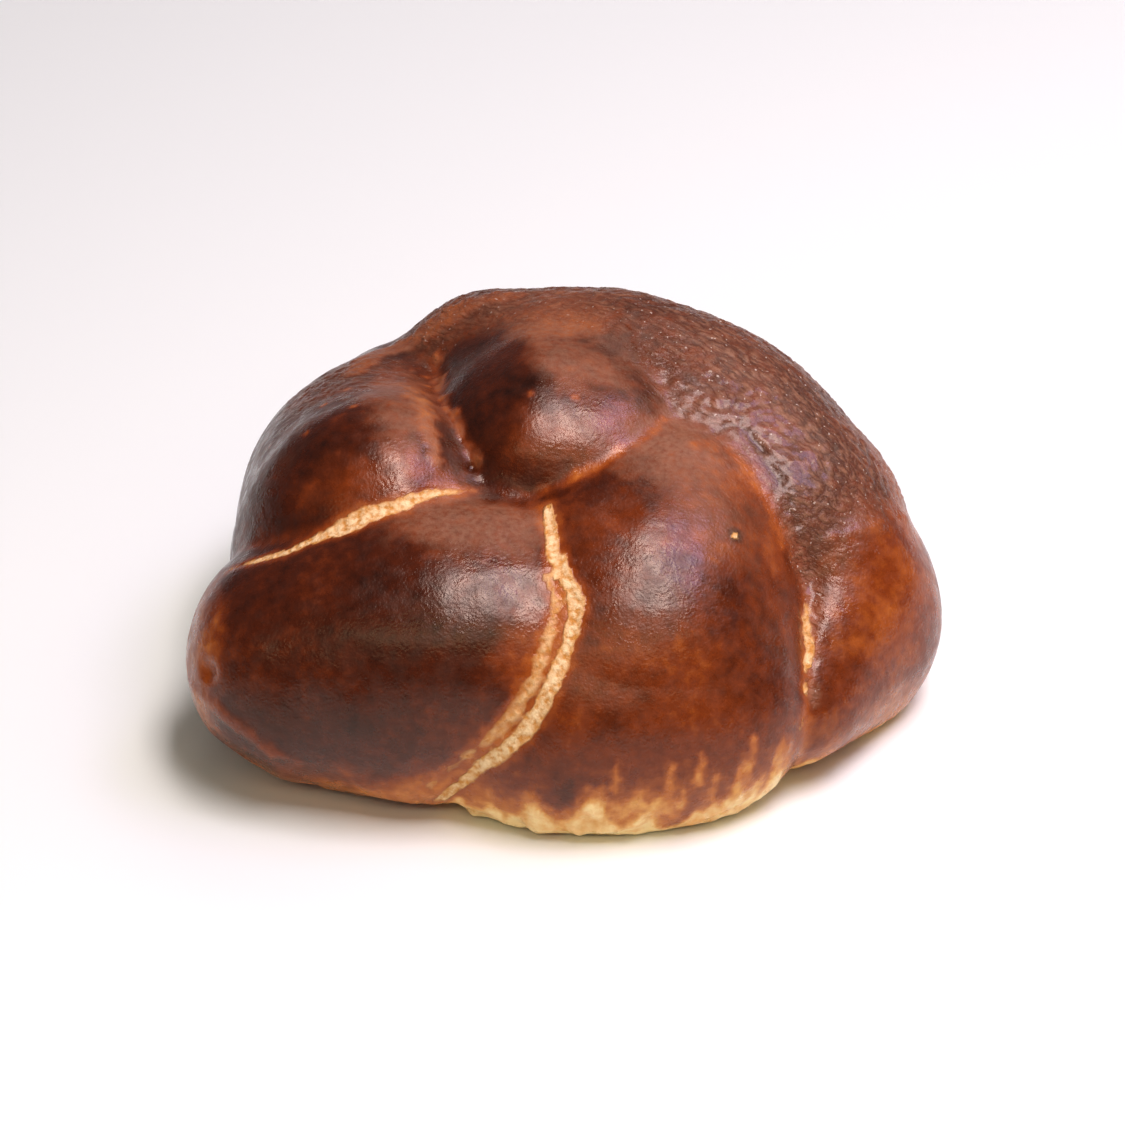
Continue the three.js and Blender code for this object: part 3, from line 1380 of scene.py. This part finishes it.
STROKES = (
    # The ridge over the knob.
    Stroke(
        Course(((-5, 22, 50), (-4, 3.5, 53), (-6, -5, 51), (-7.5, -10, 47)), (1, 1, 1, 0.5)),
        relief=2.6, ragged=0.0, edge=8.0,
    ),
    # The two ridges of torn skin left of the knob.
    Stroke(
        Course(
            ((-23, 20, 46), (-22.5, 8, 48), (-21, -3, 48), (-19, -12, 45)),
            (1.2, 1.8, 1.6, 0.8),
        ),
        tone=0.38, grain=0.9, relief=0.35, strength=0.75, ragged=1.1,
    ),
    Stroke(
        Course(
            ((-20, 24, 44.5), (-18.7, 11, 44.5), (-16, -2, 45.5), (-12.5, -9.5, 42.5)),
            (0.8, 1.1, 1.1, 0.7),
        ),
        tone=0.32, glow=0.3, grain=0.9, relief=0.5, strength=0.65, ragged=1.2,
    ),
    # The pale, grainy strip behind the knob, partly painted sheen.
    Stroke(
        Course(
            ((-32, 18, 44.5), (-28, 27, 43), (-16, 30, 47.5), (-7, 31, 49.5)),
            (1.6, 2.6, 2.6, 1.4),
        ),
        tone=0.5, grain=0.95, relief=0.3, strength=0.8, ragged=1.2,
    ),
    # The golden crease under the knob.
    Stroke(
        Course(
            ((-6, -13.5, 40.5), (1, -13, 43.5), (7, -11, 45.5), (15.5, -2, 46.5)),
            (0.5, 0.8, 0.8, 0.6),
        ),
        tone=0.34, glow=0.4, grain=0.1, strength=0.85, ragged=1.0,
    ),
    # The golden skin between the two strips of torn crumb.
    Stroke(
        Course(FRONT_CREASE, (0.8, 1.6, 1.8, 1.9, 1.8, 1.3, 0.6)),
        tone=0.24, glow=0.4, grain=0.3, relief=-0.2, strength=0.9,
    ),
    # The crease between the right front turn and the crescent, darkened with painted shade, and its
    # orange rim.
    Stroke(
        Course(
            ((20, -5, 46), (26, -3, 46.2), (31, -9.2, 41.4), (33.9, -14.6, 35.8)),
            (0.3, 0.5, 0.6, 0.5),
        ),
        tone=0.9, grain=0.5, relief=-0.45, strength=0.8, ragged=0.6,
    ),
    Stroke(
        Course(
            ((19, -8, 46), (24.5, -7.5, 44.7), (29, -12.5, 39.8), (31.5, -18, 34.5)),
            (0.5, 1.0, 1.1, 0.8),
        ),
        tone=0.4, glow=0.8, grain=0.4, strength=0.7, ragged=1.3,
    ),
    # The pale line on the left front turn's top edge.
    Stroke(
        Course(((-14, -13.5, 42), (-8, -15.5, 42.5), (-3, -17, 41.5)), (0.35, 0.5, 0.5)),
        tone=0.25, grain=0.6, strength=0.8, ragged=0.3, edge=0.4,
    ),
    # The rough crease and the fold where the right end begins.
    Stroke(
        Course(
            (
                (32, -13, 37), (34, -17, 31.5), (35.8, -21.2, 26.6), (34.8, -27.6, 21.8),
                (35.3, -33, 16.5),
            ),
            (0.8, 1.5, 1.5, 1.1, 0.8),
        ),
        tone=0.6, grain=1.0, leather=1.0, relief=-0.3, strength=0.85, ragged=1.1,
    ),
    Stroke(
        Course(((39, -14.5, 33), (45.5, -11, 32.5), (51.5, -4, 30)), (0.8, 1.1, 0.6)),
        tone=0.5, grain=0.5, relief=0.5, strength=0.7,
    ),
    # The golden rim low on the left front turn.
    Stroke(
        Course(
            (
                (-56, -26, 17), (-55, -30.5, 17.5), (-51, -35.5, 17.5), (-45, -38.5, 14),
                (-38, -41, 9),
            ),
            (0.6, 1.2, 1.3, 1.1, 0.5),
        ),
        tone=0.42, glow=0.4, grain=0.2, relief=0.45, strength=0.6, ragged=1.1,
    ),
)

SEAMS = (
    # Between the left shoulder and the left front turn.
    TornSeam(
        Course(
            (
                (-50, -18, 31), (-43.5, -20.5, 35.5), (-37, -20.5, 38.5), (-33, -20, 40),
                (-29.5, -19, 41), (-25, -18, 42), (-20, -15.5, 42.5), (-13, -13, 41),
            ),
            (0.35, 0.5, 0.75, 1.4, 1.4, 1.0, 0.6, 0.2),
        ),
    ),
    # Between the two front turns: the upper run, and two strips side by side below it.
    TornSeam(
        Course(
            ((-3, -18, 41), (-2.7, -22, 40.5), (-2.6, -26, 39.5), (-2.3, -30.5, 38)),
            (0.75, 0.8, 0.85, 0.5),
        ),
    ),
    TornSeam(
        Course(
            (
                (-2.6, -28, 39), (-2.2, -31.5, 37.5), (-1, -34.5, 35.5), (-2, -38, 32),
                (-5, -42.5, 26), (-9, -44.5, 20), (-14.5, -43, 14), (-19.5, -41, 8),
                (-23, -40, 3),
            ),
            (0.3, 0.9, 1.1, 1.0, 1.1, 1.2, 1.0, 0.8, 0.6),
        ),
        offset=-1.4,
    ),
    TornSeam(
        Course(FRONT_CREASE, (0.5, 0.9, 1.1, 1.2, 1.1, 0.8, 0.4)),
        offset=1.4, paleness=0.45, fray=0.9,
    ),
    # Between the right front turn and the right end.
    TornSeam(
        Course(((35, -22, 26), (35, -28.5, 21), (33, -36, 14)), (0.22, 0.5, 0.22)),
        fray=0.9,
    ),
)

# The whole base, the left front turn, the right front turn twice, and the right end.
HEMS = (
    GoldenHem((0, 0, 0), (72, 60, 40), height=2.5, tongues=3.0, tone=0.3, strength=0.8),
    GoldenHem((-26, -38, 0), (28, 16, 20), height=3.5, tongues=2.0, tone=0.34),
    GoldenHem((12, -42, 0), (40, 20, 34), height=8.0, tongues=9.0, tone=0.3, strength=0.8),
    GoldenHem((12, -42, 0), (38, 20, 34), height=5.5, tongues=6.0, tone=0.04),
    GoldenHem((46, -24, 0), (18, 18, 20), height=2.0, tongues=4.0, tone=0.2),
)

DRIPS = (
    Drips(
        (
            (-3, -45.5, 12), (5.9, -47.5, 15.7), (9.5, -47, 11), (14.1, -46.8, 14.6),
            (18.2, -45.7, 16.4), (20.5, -45, 12), (24, -43.5, 10.4), (26, -42.3, 17),
            (30, -39.5, 13),
        )
    ),
    Drips(
        ((11.6, -46.8, 8.6), (16, -46.3, 10), (2, -47, 8), (27.5, -41.5, 9)),
        length=3.5, tone=0.1,
    ),
)


@dataclass
class RollBody:
    """The roll itself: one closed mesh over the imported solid, modelled and painted."""

    dough: Dough
    voxel: float = 0.62
    quick_voxel: float = 0.9
    passes: int = 3
    seed: int = 7
    foot: Span = (0.2, 2.0)
    sole_height: float = 0.02

    def remeshed(self) -> bpy.types.Mesh:
        """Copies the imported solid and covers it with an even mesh.

        Returns:
            The even mesh.
        """
        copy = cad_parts[NODE].data.copy()
        copy.materials.clear()
        holder = bpy.data.objects.new("remesh_source", copy)
        bpy.context.scene.collection.objects.link(holder)
        remesh = holder.modifiers.new("even", "REMESH")
        remesh.mode = "VOXEL"
        remesh.voxel_size = self.voxel * MM
        graph = bpy.context.evaluated_depsgraph_get()
        mesh = bpy.data.meshes.new_from_object(holder.evaluated_get(graph))
        bpy.data.objects.remove(holder)
        bpy.data.meshes.remove(copy)
        return mesh

    def canvas(self, mesh: bpy.types.Mesh) -> Canvas:
        """Settles the mesh onto the dough's skin and lays relief and masks on it.

        Args:
            mesh: The even mesh.

        Returns:
            The finished canvas.
        """
        flat = np.zeros(len(mesh.vertices) * 3)
        mesh.vertices.foreach_get("co", flat)
        skin = self.dough.settle(flat.reshape(-1, 3) / MM, self.passes)
        canvas = Canvas(skin, self.dough.merged(skin.at), Noise(self.seed))
        BROWNING.lay(canvas)
        for feature in (*SPOTS, *SPECKS, *HEMS, *DRIPS, *STROKES, *SEAMS):
            feature.lay(canvas)
        Unevenness().lay(canvas)
        LeatheryWrinkles().lay(canvas)
        return canvas

    def shape(self, mesh: bpy.types.Mesh, canvas: Canvas) -> None:
        """Moves the mesh to the relief, which fades out at the foot.

        Args:
            mesh: The even mesh.
            canvas: The finished canvas.
        """
        skin = canvas.skin
        risen = canvas.relief * ease(*self.foot, skin.at[:, 2])
        moved = skin.at + skin.outward * risen[:, None]
        moved[:, 2] = np.maximum(moved[:, 2], 0.0)
        mesh.vertices.foreach_set("co", (moved * MM).ravel())

    def paint(self, mesh: bpy.types.Mesh, canvas: Canvas) -> None:
        """Keeps the masks as attributes of the mesh.

        Args:
            mesh: The roll's mesh.
            canvas: The finished canvas.
        """
        for mask, values in canvas.masks.items():
            attribute = mesh.attributes.new(mask.value, "FLOAT", "POINT")
            attribute.data.foreach_set("value", np.clip(values, 0.0, 1.0).astype(np.float32))

    def dress(self, mesh: bpy.types.Mesh) -> None:
        """Gives the mesh the crust's material, and the flat base its own.

        Args:
            mesh: The roll's mesh.
        """
        mesh.materials.append(CrustFinish().material())
        mesh.materials.append(SoleFinish().material())
        mesh.shade_smooth()
        bm = bmesh.new()
        bm.from_mesh(mesh)
        for face in bm.faces:
            if max(vert.co.z for vert in face.verts) < self.sole_height * MM:
                face.material_index = 1
        bm.to_mesh(mesh)
        bm.free()

    def build(self) -> bpy.types.Object:
        """Builds the roll.

        Returns:
            The roll's object.
        """
        mesh = self.remeshed()
        canvas = self.canvas(mesh)
        self.shape(mesh, canvas)
        self.paint(mesh, canvas)
        self.dress(mesh)
        roll = bpy.data.objects.new("knotted_roll", mesh)
        bpy.context.scene.collection.objects.link(roll)
        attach(roll, BODY)
        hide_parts(NODE)
        return roll


@dataclass(frozen=True)
class Lamp:
    """A soft box: a lit rectangle that hangs level over the roll."""

    name: str
    at: Point
    size: Span
    radiance: float
    colour: Colour

    def hang(self) -> None:
        """Hangs the lamp, with the power that gives its radiance."""
        light = bpy.data.lights.new(self.name, "AREA")
        light.shape = "RECTANGLE"
        light.size, light.size_y = (side * MM for side in self.size)
        light.energy = self.radiance * math.pi * light.size * light.size_y
        light.color = linear(self.colour)[:3]
        lamp = bpy.data.objects.new(self.name, light)
        lamp.location = Vector(self.at) * MM
        bpy.context.scene.collection.objects.link(lamp)


@dataclass
class Studio:
    """A pale floor, soft lamps and the camera."""

    lamps: tuple[Lamp, ...] = (
        Lamp("ceiling", (640, 250, 800), (560, 1000), 1.6, (255, 244, 228)),
        Lamp("skylight", (180, 720, 800), (420, 520), 1.6, (255, 240, 228)),
        Lamp("window", (165, -190, 760), (220, 460), 18.0, (255, 240, 240)),
        Lamp("lilac", (400, 0, 750), (240, 360), 7.5, (204, 188, 255)),
        Lamp("front", (-60, -780, 760), (1600, 260), 2.8, (255, 234, 196)),
    )
    sky: Colour = (244, 246, 255)
    sky_strength: float = 0.1
    floor_span: float = 4000.0
    camera_at: Point = (-15, -520, 359)
    looks_at: Point = (-0.5, 0, 20)
    lens: float = 129.4
    sensor: float = 36.0
    sight: float = 20000.0

    def lay_floor(self) -> bpy.types.Object:
        """Lays the floor.

        Returns:
            The floor's object.
        """
        half = self.floor_span / 2 * MM
        corners = [(-half, -half, 0), (half, -half, 0), (half, half, 0), (-half, half, 0)]
        mesh = bpy.data.meshes.new("floor")
        mesh.from_pydata(corners, [], [(0, 1, 2, 3)])
        mesh.materials.append(FloorFinish().material())
        floor = bpy.data.objects.new("floor", mesh)
        bpy.context.scene.collection.objects.link(floor)
        return floor

    def light(self) -> None:
        """Hangs the lamps and sets the even light around them."""
        for lamp in self.lamps:
            lamp.hang()
        world = bpy.data.worlds.new("studio")
        world.use_nodes = True
        background = world.node_tree.nodes["Background"]
        background.inputs["Color"].default_value = linear(self.sky)
        background.inputs["Strength"].default_value = self.sky_strength
        scene = bpy.context.scene
        scene.world = world
        scene.view_settings.view_transform = "Standard"

    def place_camera(self) -> bpy.types.Object:
        """Places the camera where the photograph was taken from.

        Returns:
            The camera's object.
        """
        data = bpy.data.cameras.new("camera")
        data.lens = self.lens
        data.sensor_width = self.sensor
        data.clip_end = self.sight * MM
        camera = bpy.data.objects.new("camera", data)
        camera.location = Vector(self.camera_at) * MM
        view = Vector(self.camera_at) - Vector(self.looks_at)
        camera.rotation_euler = view.to_track_quat("Z", "Y").to_euler()
        bpy.context.scene.collection.objects.link(camera)
        bpy.context.scene.camera = camera
        return camera


def main() -> None:
    """Builds the roll and its studio, and reports each piece."""
    logging.basicConfig(level=logging.INFO, format="%(name)s: %(message)s")
    studio = Studio()
    camera = studio.place_camera()
    log.info("%s: %.1f mm lens", camera.name, studio.lens)
    studio.light()
    floor = studio.lay_floor()
    log.info("%s: %.0f mm square", floor.name, studio.floor_span)
    dough = Dough()
    dough.lay_out(cad_low, cad_high)
    roll = RollBody(dough).build()
    log.info("%s: %d faces", roll.name, len(roll.data.polygons))


if __name__ == "__main__":
    main()
